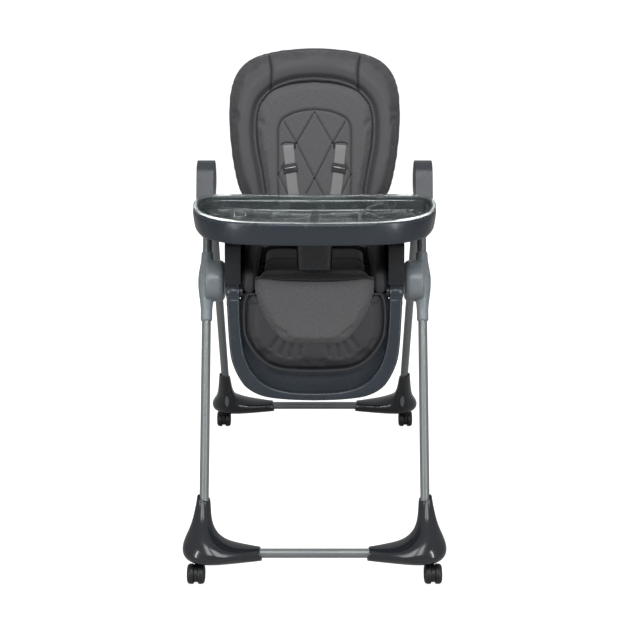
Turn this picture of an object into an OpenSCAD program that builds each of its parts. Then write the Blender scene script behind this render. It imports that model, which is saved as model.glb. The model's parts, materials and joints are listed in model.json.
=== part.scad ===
// Folding high chair with an A frame, a height-adjustable seat, a reclining back,
// a lifting leg rest and a tray with a clear liner. The origin is on the floor at
// the middle of the footprint, +Z is up and the child faces -Y.

/* [Frame] */
// Depth over the four feet
base_depth = 866; // [850:1:890]
// Distance between the leg tubes, centre to centre
leg_spacing = 488; // [482:1:492]
// Outer diameter of every frame tube
tube_d = 20.5; // [19:0.5:22]
// Wall of every frame tube
tube_wall = 1.5; // [1:0.1:2.5]
// Height at which the front and rear leg lines meet
apex_height = 849; // [845:1:855]
// Lean of the front legs from upright, in degrees
front_lean = 27.2; // [26.8:0.1:27.6]
// Lean of the rear legs from upright, in degrees
rear_lean = 22.5; // [22:0.1:23]
// Height of the hinge pin that the frame folds about
fold_height = 800; // [797:1:803]

/* [Feet and casters] */
// Half the depth of one foot
foot_half_depth = 42; // [40:1:44]
// Height of the crossbars
crossbar_height = 67; // [65:1:69]
// Diameter of a caster wheel
wheel_d = 44; // [42:1:44]
// Sideways place of a caster from the middle of the chair
caster_x = 258; // [254:1:260]
// Distance from the swivel stem back to the axle
caster_trail = 15; // [14:1:16]

/* [Seat] */
// Height of the seat frame's middle, where the height sliders sit
slider_height = 593; // [590:1:596]
// Width over the two seat sides
seat_width = 394; // [390:1:396]
// Height of the armrest top
armrest_height = 727; // [725:1:728]
// Height of the seat cushion's top
cushion_height = 612; // [608:1:616]

/* [Back] */
// Depth position of the recline pin
recline_y = 135; // [133:1:137]
// Height of the recline pin
recline_height = 632; // [629:1:635]
// Lean of the backrest from upright, in degrees
back_lean = 17.5; // [17:0.5:18]
// Height of the backrest above its pin, measured along it
back_length = 455; // [450:1:460]

/* [Leg rest] */
// Depth position of the leg rest pin
leg_pin_y = -161; // [-163:1:-159]
// Height of the leg rest pin
leg_pin_height = 590; // [588:1:592]
// Forward lean of the hanging leg rest, in degrees
leg_lean = 17; // [16:0.5:18]
// Length of the leg rest below its pin
leg_length = 241; // [236:1:244]

/* [Tray] */
// Height of the clear liner's rim
tray_rim_height = 782; // [780:1:784]
// Height of the tray's lower edge
tray_base_height = 731; // [730:1:733]
// Half the width of the tray
tray_half_width = 265; // [260:1:266]
// Depth position of the tray's front edge
tray_front = -295; // [-298:1:-290]
// Depth position of the tray's rear edge
tray_rear = -46; // [-50:1:-45]

/* [Hidden] */
$fn = 48;

slide_gap = 0.3;                       // clearance between parts that slide
pin_gap = 0.05;                        // running clearance of a pin in its bore
leg_x = leg_spacing / 2;
tube_r = tube_d / 2;
foot_y = base_depth / 2 - foot_half_depth;
front_reach = (apex_height - crossbar_height) * tan(front_lean);
rear_reach = (apex_height - crossbar_height) * tan(rear_lean);
apex_y = (front_reach - rear_reach) / 2; // keeps the footprint centred on the origin
housing_half = 19.5;                   // half the width of a hinge housing
tongue_half = 11.6;                    // half the width of the rear knuckle inside it
slider_y = front_y(slider_height);

slate = "#33383d";
soft_grey = "#6f7576";
metal_grey = "#858a8b";
charcoal = "#2a2b2d";
leather = "#47484b";
melange = "#626263";
webbing = "#8d8f90";

// Depth position of the front and rear leg lines at height z
function front_y(z) = apex_y - (apex_height - z) * tan(front_lean);
function rear_y(z) = apex_y + (apex_height - z) * tan(rear_lean);

// Outline of two circles joined by their outer tangents
function capsule(a, ra, b, rb, n = 20) =
    let (d = norm(b - a), dir = atan2(b[1] - a[1], b[0] - a[0]), t = acos((ra - rb) / d))
    concat(
        [for (i = [0:n]) let (w = dir + t + (360 - 2 * t) * i / n) a + ra * [cos(w), sin(w)]],
        [for (i = [0:n]) let (w = dir - t + 2 * t * i / n) b + rb * [cos(w), sin(w)]]);

// A smooth curve through the points p, with the given number of steps between two of them
function between(a, b, c, d, t) =
    0.5 * (2 * b + (c - a) * t + (2 * a - 5 * b + 4 * c - d) * t * t + (3 * b - a - 3 * c + d) * t * t * t);
function curve(p, steps) =
    let (last = len(p) - 1)
    concat(
        [for (i = [0:last - 1]) for (j = [0:steps - 1])
            between(p[max(i - 1, 0)], p[i], p[i + 1], p[min(i + 2, last)], j / steps)],
        [p[last]]);

// A right-hand half outline from top centre to bottom centre, closed by its mirror image
function mirrored(half) =
    let (last = len(half) - 1)
    concat([for (i = [last:-1:0]) half[i]], [for (i = [1:last - 1]) [-half[i][0], half[i][1]]]);

// Moves each point of an outline towards the outline's middle by d
function inset(outline, d) =
    let (n = len(outline), mid = sum(outline, 0) / n)
    [for (p = outline) p - (p - mid) * min(0.9, d / max(norm(p - mid), 1))];
function sum(v, i) = i == len(v) - 1 ? v[i] : v[i] + sum(v, i + 1);

// Ring of a rounded box: centre, half sizes and how square it is
function ring(cx, cy, rx, ry, power, n) =
    [for (i = [0:n - 1]) let (a = 360 * i / n, c = cos(a), s = sin(a))
        [cx + rx * sign(c) * pow(abs(c), 2 / power), cy + ry * sign(s) * pow(abs(s), 2 / power)]];

// Skin over flat rings: each ring is a counter-clockwise outline and its height
module loft(rings, heights) {
    m = len(rings[0]);
    last = len(rings) - 1;
    points = [for (i = [0:last]) for (p = rings[i]) [p[0], p[1], heights[i]]];
    lower = [for (j = [0:m - 1]) j];
    upper = [for (j = [m - 1:-1:0]) last * m + j];
    sides = [for (i = [0:last - 1]) for (j = [0:m - 1])
        let (a = i * m + j, b = i * m + (j + 1) % m, c = b + m, d = a + m)
        each [[a, d, c], [a, c, b]]];
    polyhedron(points, concat([lower, upper], sides));
}

// Extrudes a side view, drawn as depth and height, across from x0 to x1
module across(x0, x1) {
    translate([x0, 0, 0]) rotate([90, 0, 90]) linear_extrude(x1 - x0) children();
}

// Draws its child, built on the +X side, on the left or mirrored to the right
module on_side(side) {
    if (side > 0) children();
    if (side < 0) mirror([1, 0, 0]) children();
}

// Turns z along a leg tube and puts the origin on its line at height z
module on_front_leg(z) { translate([leg_x, front_y(z), z]) rotate([-front_lean, 0, 0]) children(); }
module on_rear_leg(z) { translate([leg_x, rear_y(z), z]) rotate([rear_lean, 0, 0]) children(); }

// ---- Legs, feet and crossbars ----

tube_top = 752;                        // height at which the leg tubes end in the hinges
tube_foot = 84;                        // height at which they end in the feet
crossbar_half = 170;                   // half the length of a crossbar
stem_y = 5;                            // caster stem, inwards from the middle of a foot
stem_r = 5.25;
screw_r = 2.6;
screw_places = [196, 150];             // sideways places of the screws that hold the crossbar

module tube(length) {
    difference() {
        cylinder(r = tube_r, h = length);
        translate([0, 0, -1]) cylinder(r = tube_r - tube_wall, h = length + 2);
    }
}

module leg(lean) { color(metal_grey) tube((tube_top - tube_foot) / cos(lean)); }
module front_leg(side) { on_side(side) on_front_leg(tube_foot) leg(front_lean); }
module rear_leg(side) { on_side(side) on_rear_leg(tube_foot) leg(rear_lean); }

module crossbar(y) {
    color(metal_grey)
    translate([-crossbar_half, y, crossbar_height]) rotate([0, 90, 0]) tube(2 * crossbar_half);
}
module front_crossbar() { crossbar(-foot_y); }
module rear_crossbar() { crossbar(foot_y); }

// Bell of a foot from the floor up: height, centre and half size across, centre and half size in
// depth. Depths are measured inwards from the middle of the foot, where the leg is at in(z).
function bell(lean, start, top) = curve([
    [46, -4, 38, 0, 32],
    [64, -4, 50, 2, foot_half_depth],
    [92, -4, 47, 0.45 * (start + 92 * tan(lean)), 38],
    [120, -2, 32, 0.8 * (start + 120 * tan(lean)), 28],
    [148, 0, 18.5, start + 148 * tan(lean), 20.5],
    [top, 0, 17, start + top * tan(lean), 18.5]], 2);

// Arm of a foot: distance from the chair's middle, centre height, half height, half depth
arm = curve([
    [114, 67, 14.5, 14.5], [140, 67.5, 16, 17], [170, 70, 20, 23], [200, 76, 27, 31], [226, 78, 30, 36]], 2);

// A foot about its own middle, +Y towards the middle of the chair; start is where the leg line
// meets the floor and top is the height of the collar
module foot(lean, start, top) {
    shape = bell(lean, start, top);
    color(slate)
    difference() {
        union() {
            loft([for (s = shape) ring(leg_x + s[1], s[3], s[2], s[4], 2.2, 28)], [for (s = shape) s[0]]);
            rotate([90, 0, 90]) loft([for (s = arm) ring(0, s[1], s[3], s[2], 2.2, 24)], [for (s = arm) s[0]]);
        }
        translate([leg_x, start + tube_foot * tan(lean), tube_foot]) rotate([-lean, 0, 0])
        cylinder(r = tube_r + pin_gap, h = 140);
        translate([100, 0, crossbar_height]) rotate([0, 90, 0])
        cylinder(r = tube_r + pin_gap, h = crossbar_half - 100 + pin_gap);
        translate([caster_x, stem_y, 40]) cylinder(r = stem_r + pin_gap, h = 32);
        for (x = screw_places) translate([x, 0, 40]) cylinder(r = screw_r + pin_gap, h = 22);
    }
}
module front_foot(side) {
    on_side(side) translate([0, -foot_y, 0]) foot(front_lean, foot_y + front_y(0), 168);
}
module rear_foot(side) {
    on_side(side) translate([0, foot_y, 0]) mirror([0, 1, 0])
    foot(rear_lean, foot_y - rear_y(0), 190);
}

module foot_screws(y) {
    color(charcoal)
    for (side = [-1, 1]) for (x = screw_places) translate([side * x, y, 52]) {
        cylinder(r = screw_r, h = 4.5);
        translate([0, 0, -1.5]) cylinder(r = screw_r, h = 2);
    }
}
module front_foot_screws() { foot_screws(-foot_y); }
module rear_foot_screws() { foot_screws(foot_y); }

// ---- Fold hinges at the top of the frame ----

housing_x = leg_x + 6;                 // middle plane of a hinge
housing_r = 41;                        // radius of the housing about the fold pin
tongue_r = 36.5;                       // radius of the rear knuckle about the fold pin
fold_limit = 34;                       // angle that the rear frame folds through
fold_pin_r = 6;
fold_button_r = 11.5;
sleeve_r = 13.5;
sleeve_foot = 684;                     // height of the lower end of a leg sleeve
pivot = [apex_y, fold_height];
tongue_end = [rear_y(745), 745];

// A point turned about the fold pin by the angle a, forwards
function folded(p, a) = let (d = p - pivot) pivot + [d[0] * cos(a) + d[1] * sin(a), d[1] * cos(a) - d[0] * sin(a)];

module at_fold_pin(x) { translate([x, pivot[0], pivot[1]]) rotate([0, 90, 0]) children(); }

module hinge_housing(side) {
    on_side(side) color(slate)
    difference() {
        union() {
            across(housing_x - housing_half, housing_x + housing_half)
            polygon(capsule(pivot, housing_r, [front_y(748), 748], 16));
            on_front_leg(sleeve_foot) cylinder(r = sleeve_r, h = 60);
        }
        across(housing_x - tongue_half - slide_gap, housing_x + tongue_half + slide_gap) {
            translate(pivot) circle(r = tongue_r + 0.7);
            for (a = [0, 9, 18, 27, fold_limit + 1])
                polygon(capsule(pivot, tongue_r + 0.7, folded(tongue_end, a), 16.5));
        }
        on_front_leg(sleeve_foot - 5)
        cylinder(r = tube_r + pin_gap, h = (tube_top - sleeve_foot + 5) / cos(front_lean) + pin_gap);
        at_fold_pin(housing_x - 16) cylinder(r = fold_pin_r + pin_gap, h = 30);
        at_fold_pin(housing_x + 13.5) cylinder(r = fold_button_r + slide_gap, h = 10);
    }
}

module fold_pins() {
    color(metal_grey) for (side = [-1, 1]) on_side(side)
    at_fold_pin(housing_x - 15.9) cylinder(r = fold_pin_r, h = 29);
}

module fold_button(side) {
    on_side(side) color(charcoal)
    at_fold_pin(housing_x + 17) {
        cylinder(r = fold_button_r, h = 3.5);
        translate([0, 0, 3.5]) cylinder(r1 = fold_button_r, r2 = fold_button_r - 2, h = 1.5);
    }
}

module rear_knuckle(side) {
    on_side(side) color(slate)
    difference() {
        union() {
            across(housing_x - tongue_half, housing_x + tongue_half)
            polygon(capsule(pivot, tongue_r, tongue_end, 15));
            on_rear_leg(sleeve_foot) cylinder(r = sleeve_r, h = (745 - sleeve_foot) / cos(rear_lean));
        }
        on_rear_leg(sleeve_foot - 5)
        cylinder(r = tube_r + pin_gap, h = (tube_top - sleeve_foot + 5) / cos(rear_lean) + pin_gap);
        at_fold_pin(housing_x - 16) cylinder(r = fold_pin_r + pin_gap, h = 32);
    }
}

// ---- Casters ----

caster_y = foot_y - stem_y;            // swivel axis of a caster
axle_y = caster_y + caster_trail;      // axle at rest, trailing outwards
axle_r = 3;
wheel_r = wheel_d / 2;
hood_r = wheel_r + 1;

// A caster hood in the +X front corner
module caster_hood_shape() {
    color(charcoal)
    difference() {
        union() {
            translate([caster_x, -caster_y, 44]) cylinder(r = stem_r, h = 24);
            translate([caster_x, -caster_y, 36]) cylinder(r = 4.2, h = 9);
            translate([caster_x, -caster_y, 44.2]) cylinder(r = 9, h = 1.4);
            translate([caster_x - 3.8, -axle_y, wheel_r]) rotate([0, 90, 0]) cylinder(r = 18, h = 7.6);
            translate([caster_x - 3.8, -axle_y, 28]) cube([7.6, 24, 12]);
        }
        translate([caster_x - 10, -axle_y, wheel_r]) rotate([0, 90, 0]) cylinder(r = axle_r + pin_gap, h = 20);
    }
}

// Twin wheels and the axle that joins them, in the +X front corner
module caster_wheels_shape() {
    color(charcoal)
    translate([caster_x, -axle_y, wheel_r]) rotate([0, 90, 0]) {
        translate([0, 0, -6]) cylinder(r = axle_r, h = 12);
        for (flip = [0, 1]) mirror([0, 0, flip]) rotate_extrude()
        polygon([[0, 4.6], [wheel_r - 1.5, 4.6], [wheel_r, 6.5], [wheel_r, 12], [wheel_r - 2, 16],
            [wheel_r - 6, 18.5], [wheel_r - 10, 19.3], [0, 19.3]]);
    }
}

module in_corner(side, end) { on_side(side) mirror([0, end > 0 ? 1 : 0, 0]) children(); }
module caster_hood(side, end) { in_corner(side, end) caster_hood_shape(); }
module caster_wheels(side, end) { in_corner(side, end) caster_wheels_shape(); }

// ---- Height sliders on the front legs ----

drum_r = 47;                           // radius of the hub that joins a slider to the seat
drum_inner = 200.5;                    // its inner face, from the middle of the chair
height_key = [24, 34, 10];             // width, height and thickness of a height key
height_key_y = 41;                     // its front face, behind the slider's middle

// Outline of the spindle round the leg: radius and height along the leg
spindle = curve([
    [13.2, 66], [14, 48], [17, 30], [19.6, 4], [18.6, -24], [15.5, -48], [13.2, -66], [12.7, -92]], 3);

module slider(side) {
    on_side(side) color(soft_grey)
    difference() {
        union() {
            on_front_leg(slider_height)
            rotate_extrude() polygon(concat([[0, 66]], spindle, [[0, -92]]));
            translate([leg_x - 2, slider_y, slider_height]) rotate([0, -90, 0]) rotate_extrude()
            polygon([[0, 0], [drum_r - 3, 0], [drum_r, 4], [drum_r, 30], [drum_r - 3, 37],
                [drum_r - 9, leg_x - 2 - drum_inner], [0, leg_x - 2 - drum_inner]]);
        }
        on_front_leg(slider_height) translate([0, 0, -105]) cylinder(r = tube_r + slide_gap, h = 185);
        translate([leg_x - 22 - height_key[0] / 2 - slide_gap, slider_y + height_key_y - 5,
            slider_height - height_key[1] / 2 - slide_gap])
        cube([height_key[0] + 2 * slide_gap, 20, height_key[1] + 2 * slide_gap]);
    }
}

module height_button(side) {
    on_side(side) color(charcoal)
    translate([leg_x - 22 - height_key[0] / 2, slider_y + height_key_y, slider_height - height_key[1] / 2])
    cube(height_key_size());
}
function height_key_size() = [height_key[0], height_key[2], height_key[1]];

// ---- Seat frame ----

side_outer = seat_width / 2;
side_inner = 162;
boss_inner = 158.8;                    // inner face of the plate that carries the leg rest pin
knuckle_r = 16;
pin_r = 5;
recline_pin_r = 6;
pan_top = 584;
leg_pin = [leg_pin_y, leg_pin_height];
recline_pin = [recline_y, recline_height];

// Side view of a seat side, from the armrest round the back, the underside and the front
seat_side_outline = [
    [-150, 706], [-20, 706], [70, 700], [118, 676], [160, 650], [168, 622], [150, 590], [100, 566],
    [-128, 566], [-138, 584], [-150, 603], [-176, 610], [-172, 640], [-160, 690]];

module seat_side(side) {
    on_side(side) color(slate)
    difference() {
        union() {
            across(side_inner, side_outer - 0.5) polygon(seat_side_outline);
            across(boss_inner, side_inner + 2.2)
            polygon(capsule([-120, 610], 18, leg_pin, 13));
        }
        across(side_inner - 5, side_outer - 12) side_pocket();
        across(side_inner + 2.4, side_outer + 5) translate(leg_pin) circle(r = knuckle_r + 1);
        across(boss_inner - 1, side_inner + 3) translate(leg_pin) circle(r = pin_r + pin_gap);
        across(boss_inner - 1, side_outer - 5) translate(recline_pin) circle(r = recline_pin_r + pin_gap);
    }
}

// Hollow on the inside of a seat side, with walls left round its edge and pins
module side_pocket() {
    polygon([[-138, 694], [-20, 694], [60, 690], [92, 668], [92, 584], [-90, 578], [-96, 640], [-150, 640], [-150, 680]]);
}

module seat_pan() {
    color(slate)
    difference() {
        translate([-side_inner + 0.1, -134, 566]) cube([2 * side_inner - 0.2, 238, pan_top - 566]);
        translate([-side_inner + 12, -122, 571]) cube([2 * side_inner - 24, 214, 30]);
    }
}

module armrest(side) {
    on_side(side) color(slate) {
        across(150, side_outer - 0.5)
        polygon([[-148, 720], [-142, armrest_height], [80, armrest_height], [92, 720]]);
        across(162, 188) polygon([[-148, 706], [-148, 720.5], [92, 720.5], [92, 697], [70, 700], [-20, 706]]);
    }
}

module seat_pins() {
    color(metal_grey) for (side = [-1, 1]) on_side(side) {
        across(boss_inner + 0.2, 193) translate(leg_pin) circle(r = pin_r);
        across(side_inner - 12, side_outer - 6) translate(recline_pin) circle(r = recline_pin_r);
    }
}

module seat_cushion() {
    color(melange)
    rotate([90, 0, 90]) translate([0, 0, -150])
    loft([for (e = [6, 0, 0, 6]) ring(-34.5, (cushion_height + pan_top) / 2 + 1,
        122.5 - e, (cushion_height - pan_top) / 2 + 1 - 0.001 - e / 3, 5, 40)], [0, 14, 286, 300]);
}

// ---- Backrest ----

// Puts a drawing of the back in its place: x across, y along the back, z towards the child,
// with the origin on the recline pin's level of the back's front plane
module on_back() { translate([0, recline_y, recline_height]) rotate([90 - back_lean, 0, 0]) children(); }

back_outline = mirrored(curve([
    [0, back_length], [72, back_length - 4], [140, back_length - 20], [179, back_length - 48],
    [201, back_length - 94], [207, back_length - 158], [203, back_length - 222], [194, back_length - 282],
    [181, back_length - 336], [164, 90], [147, 60], [146, 0], [138, -22], [0, -26]], 2));

shell_front = -2;                      // front plane of the plastic shell
pad_front = 32;                        // front plane of the padding

module back_shell() {
    color(slate)
    difference() {
        union() {
            on_back() difference() {
                loft([for (e = [30, 12, 4, 3]) inset(back_outline, e)], [-34, -30, -16, shell_front]);
                difference() {
                    loft([for (e = [26, 16, 10]) inset(back_outline, e)], [-29, -20, 1]);
                    translate([-94, 190, -40]) cube([188, 80, 21]);
                }
            }
            for (side = [-1, 1]) on_side(side) across(142, side_inner - 0.8)
            polygon(capsule(recline_pin, 16, recline_pin + [14, 6], 14));
        }
        for (side = [-1, 1]) on_side(side) across(130, side_inner) translate(recline_pin)
        circle(r = recline_pin_r + pin_gap);
        on_back() translate([-80, 200, -36]) cube([160, 60, 10]);
    }
}

module back_cushion() {
    color(leather)
    on_back() difference() {
        loft([for (e = [3, 0, 2, 14]) inset(back_outline, e)], [shell_front + 0.5, 6, 16, 24]);
        for (side = [-1, 1]) on_side(side) translate([141.5, -40, -5]) cube([20, 78, 40]);
    }
}

module back_insert() {
    color(melange)
    on_back() loft([for (e = [0, 2, 10]) ring(0, 176, 88 - e, 110 - e, 4, 40)], [24.5, 28, pad_front]);
}

// Squeeze lever behind the top of the shell that frees the recline
module recline_handle() {
    color(charcoal)
    on_back() translate([-60, 212, -35]) cube([120, 24, 8]);
}

// ---- Harness ----

slot_along = 236;                      // height of the shoulder slots along the back
buckle = [0, 76, 652];
strap_w = 26;

// Flat strap between two points on the pad, as width and thickness boxes at its ends
module strap(a, b, tilt_a, tilt_b) {
    hull() {
        translate(a) rotate(tilt_a) cube([strap_w, 1.6, 2], center = true);
        translate(b) rotate(tilt_b) cube([strap_w, 1.6, 2], center = true);
    }
}

module shoulder_straps() {
    color(webbing) for (side = [-1, 1]) on_side(side)
    on_back() rotate([90, 0, 0]) {
        strap([64, pad_front + 2, -slot_along], [44, pad_front + 3, -130], [0, 0, 0], [0, 0, 0]);
        strap([44, pad_front + 3, -128], [19, pad_front + 4, -62], [0, 0, 0], [0, 0, 0]);
    }
}

module strap_adjusters() {
    color(charcoal) for (side = [-1, 1]) on_side(side)
    on_back() translate([56, 192, pad_front + 5.3]) rotate([0, 0, -10]) cube([34, 22, 2.5], center = true);
}

module harness_buckle() {
    color(charcoal) translate(buckle) rotate([-20, 0, 0])
    rotate([90, 0, 0]) linear_extrude(12, center = true)
    polygon(ring(0, 0, 26, 23, 4, 32));
}

module lap_straps() {
    color(webbing) {
        for (side = [-1, 1]) on_side(side)
        strap([128, 84, 626], [44, 74, 650], [0, 90, 0], [0, 90, 0]);
        strap([0, 20, 616], [0, 62, 624], [50, 0, 0], [50, 0, 0]);
    }
}

// ---- Leg rest ----

// Puts a drawing of the leg rest in its place: x across, y up along it from the pin, z forwards
module on_leg_rest() { translate([0, leg_pin_y, leg_pin_height]) rotate([90 - leg_lean, 0, 0]) children(); }

leg_outline = mirrored(curve([
    [0, -14], [184, -14], [194, -20], [192, -60], [188, -125], [180, -165], [163, -199], [142, -218], [108, -234],
    [60, -leg_length], [0, -leg_length]], 2));
leg_inner = mirrored(curve([
    [0, 0], [165.5, 0], [164, -60], [160, -120], [151, -160], [136, -184], [116, -202], [86, -211],
    [50, -leg_length + 26], [0, -leg_length + 26]], 2));

module leg_shell() {
    color(slate)
    difference() {
        union() {
            on_leg_rest() difference() {
                translate([0, 0, -22]) linear_extrude(36) polygon(leg_outline);
                translate([0, 0, -16]) linear_extrude(60) polygon(leg_inner);
                translate([-164.6, -30, -40]) cube([329.2, 60, 100]);
            }
            for (side = [-1, 1]) on_side(side) across(side_inner + 2.6, side_outer - 1.5)
            polygon(capsule(leg_pin, knuckle_r, leg_pin + 30 * [-sin(leg_lean), -cos(leg_lean)], 13));
        }
        for (side = [-1, 1]) on_side(side) across(150, side_outer) translate(leg_pin)
        circle(r = pin_r + pin_gap);
    }
}

leg_pad_outline = mirrored(curve([
    [0, -4], [142, -4], [152, -12], [156, -40], [156, -75], [151, -106], [130, -142], [105, -162], [78, -173],
    [40, -177], [0, -178]], 2));
calf_outline = mirrored(curve([
    [0, -6], [120, -6], [126, -12], [122, -34], [112, -62], [92, -92], [60, -112], [30, -118], [0, -119]], 2));

module leg_pad() {
    color(leather)
    on_leg_rest() loft([for (e = [4, 0, 8]) inset(leg_pad_outline, e)], [-15, 0, 14]);
}

module calf_flap() {
    color(melange)
    on_leg_rest() loft([for (e = [0, 1, 8]) inset(calf_outline, e)], [14.5, 20, 28]);
}

// ---- Tray ----

// Plan of the tray: across and depth, from the rear middle round to the front middle
tray_outline = mirrored(curve([
    [0, tray_rear], [215, tray_rear], [246, tray_rear - 8], [262, tray_rear - 38],
    [tray_half_width, tray_rear - 80], [260, -168], [240, -222], [196, -266], [120, -288], [0, tray_front]], 3));
liner_wall = 2.5;
tray_wall = 4;
floor_top = 744;                       // top of the tray's floor
cup = [-165, -112];                    // middle of the cup recess
cup_r = 40;
cup_depth = 8;

module tray() {
    color(slate)
    difference() {
        union() {
            loft([for (e = [16, 4, 0, 1.5]) inset(tray_outline, e)], [tray_base_height, 742, 762, 777]);
            for (side = [-1, 1]) on_side(side) {
                translate([side_outer + 2, -150, 711]) cube([5, 70, 22]);
                translate([190, -150, 711]) cube([side_outer + 3 - 190, 70, 5.5]);
            }
        }
        translate([0, 0, floor_top]) linear_extrude(60) polygon(inset(tray_outline, tray_wall + 6));
        translate([cup[0], cup[1], floor_top - cup_depth]) cylinder(r = cup_r, h = 30);
        translate([-115, -244, 725]) cube([255, 170, floor_top - tray_wall - 725]);
    }
}

module crotch_post() {
    color(slate)
    translate([0, 0, 640]) loft([for (e = [0, 1]) ring(0, -152, 38 + 4 * e, 17 + 3 * e, 4, 32)],
        [0, floor_top - tray_wall - 640]);
}

module tray_liner() {
    color("#d8dadb")
    difference() {
        union() {
            translate([0, 0, floor_top + slide_gap]) linear_extrude(tray_rim_height - 1 - floor_top)
            polygon(inset(tray_outline, tray_wall + 6.5));
            translate([cup[0], cup[1], floor_top - cup_depth + slide_gap])
            cylinder(r = cup_r - slide_gap, h = cup_depth);
            translate([0, 0, 777.4]) linear_extrude(tray_rim_height - 777.4)
            polygon(inset(tray_outline, 1));
        }
        translate([0, 0, floor_top + slide_gap + liner_wall]) linear_extrude(60)
        polygon(inset(tray_outline, tray_wall + 6.5 + liner_wall));
        translate([cup[0], cup[1], floor_top - cup_depth + slide_gap + liner_wall])
        cylinder(r = cup_r - slide_gap - liner_wall, h = 40);
    }
}

// Spring paddle under each end of the tray that frees it from the armrest
module tray_catch(side) {
    on_side(side) color(charcoal)
    translate([side_outer + 12, -140, 713]) cube([20, 50, 17]);
}

// ---- Drawing ----

front_leg(1);  // front_leg_left
front_leg(-1);  // front_leg_right
front_foot(1);  // front_foot_left
front_foot(-1);  // front_foot_right
front_crossbar();
front_foot_screws();
hinge_housing(1);  // hinge_housing_left
hinge_housing(-1);  // hinge_housing_right
fold_pins();
rear_leg(1);  // rear_leg_left
rear_leg(-1);  // rear_leg_right
rear_foot(1);  // rear_foot_left
rear_foot(-1);  // rear_foot_right
rear_crossbar();
rear_foot_screws();
rear_knuckle(1);  // rear_knuckle_left
rear_knuckle(-1);  // rear_knuckle_right
fold_button(1);  // fold_button_left
fold_button(-1);  // fold_button_right
caster_hood(1, -1);  // caster_hood_front_left
caster_hood(-1, -1);  // caster_hood_front_right
caster_hood(1, 1);  // caster_hood_rear_left
caster_hood(-1, 1);  // caster_hood_rear_right
caster_wheels(1, -1);  // caster_wheels_front_left
caster_wheels(-1, -1);  // caster_wheels_front_right
caster_wheels(1, 1);  // caster_wheels_rear_left
caster_wheels(-1, 1);  // caster_wheels_rear_right
slider(1);  // slider_left
slider(-1);  // slider_right
height_button(1);  // height_button_left
height_button(-1);  // height_button_right
seat_pan();
seat_side(1);  // seat_side_left
seat_side(-1);  // seat_side_right
armrest(1);  // armrest_left
armrest(-1);  // armrest_right
seat_pins();
seat_cushion();
harness_buckle();
lap_straps();
back_shell();
back_cushion();
back_insert();
shoulder_straps();
strap_adjusters();
recline_handle();
leg_shell();
leg_pad();
calf_flap();
tray();
crotch_post();
tray_liner();
tray_catch(1);  // tray_catch_left
tray_catch(-1);  // tray_catch_right
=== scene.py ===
"""Folding high chair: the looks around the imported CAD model, from the frame up to the tray."""
import json
import math

import bmesh
import bpy
import numpy as np
from mathutils import Matrix, Vector


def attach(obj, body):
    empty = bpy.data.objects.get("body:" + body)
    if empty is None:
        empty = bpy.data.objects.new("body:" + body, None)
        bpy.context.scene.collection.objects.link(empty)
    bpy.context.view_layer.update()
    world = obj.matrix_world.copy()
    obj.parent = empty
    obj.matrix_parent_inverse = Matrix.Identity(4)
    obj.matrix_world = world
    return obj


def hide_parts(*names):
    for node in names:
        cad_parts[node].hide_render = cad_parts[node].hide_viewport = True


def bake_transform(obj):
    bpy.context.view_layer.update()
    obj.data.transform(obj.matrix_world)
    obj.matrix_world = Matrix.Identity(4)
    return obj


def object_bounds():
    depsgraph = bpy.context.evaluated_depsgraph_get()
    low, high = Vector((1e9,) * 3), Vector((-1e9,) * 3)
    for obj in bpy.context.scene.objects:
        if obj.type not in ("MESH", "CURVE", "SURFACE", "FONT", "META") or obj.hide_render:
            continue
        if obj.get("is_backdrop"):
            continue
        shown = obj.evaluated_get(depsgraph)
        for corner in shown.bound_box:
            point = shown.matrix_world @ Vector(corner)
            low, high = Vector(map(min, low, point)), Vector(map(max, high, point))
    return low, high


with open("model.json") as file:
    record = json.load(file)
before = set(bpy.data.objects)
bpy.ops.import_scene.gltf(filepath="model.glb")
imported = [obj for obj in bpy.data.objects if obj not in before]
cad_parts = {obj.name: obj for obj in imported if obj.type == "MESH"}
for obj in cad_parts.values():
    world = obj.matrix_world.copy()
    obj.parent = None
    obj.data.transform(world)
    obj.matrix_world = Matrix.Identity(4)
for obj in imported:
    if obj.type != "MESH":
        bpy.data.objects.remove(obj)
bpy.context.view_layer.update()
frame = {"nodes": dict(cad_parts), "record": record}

# ---- Studio ----
# A plain white floor and backdrop. Softboxes overhead, in front and behind only light the chair,
# and four tall white cards only show in gloss, as streaks down the plastics and tubes.


def linear(code):
    """sRGB hex such as '#85888a' as linear red, green, blue and alpha."""
    parts = [int(code[i:i + 2], 16) / 255 for i in (1, 3, 5)]
    return [c / 12.92 if c <= 0.04045 else ((c + 0.055) / 1.055) ** 2.4 for c in parts] + [1.0]


def add(tree, kind, settings=None, links=None):
    """Adds a node. Lower-case names in settings are its own, and the rest are its sockets."""
    node = tree.nodes.new("ShaderNode" + kind)
    for key, value in (settings or {}).items():
        if isinstance(key, str) and key[0].islower():
            setattr(node, key, value)
        else:
            node.inputs[key].default_value = value
    for key, source in (links or {}).items():
        tree.links.new(source, node.inputs[key])
    return node


def placed(name, data):
    """A new object in the scene."""
    made = bpy.data.objects.new(name, data)
    bpy.context.collection.objects.link(made)
    return made


camera = placed("camera", bpy.data.cameras.new("camera"))
camera.location = (0.001, -2.526, 1.377)
camera.rotation_euler = (math.radians(70.4), 0, 0)
camera.data.lens = 64.4
camera.data.sensor_width = 36
bpy.context.scene.camera = camera
bpy.context.scene.view_settings.view_transform = "Standard"

backdrop_white = "#ffffff"
world = bpy.data.worlds.new("white_room")
world.use_nodes = True
sky = world.node_tree
seen = add(sky, "LightPath").outputs["Is Camera Ray"]
strength = add(sky, "MapRange", {"To Min": 0.42, "To Max": 1.0}, {"Value": seen})
sky.links.new(strength.outputs["Result"], sky.nodes["Background"].inputs["Strength"])
sky.nodes["Background"].inputs["Color"].default_value = linear(backdrop_white)
bpy.context.scene.world = world


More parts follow.
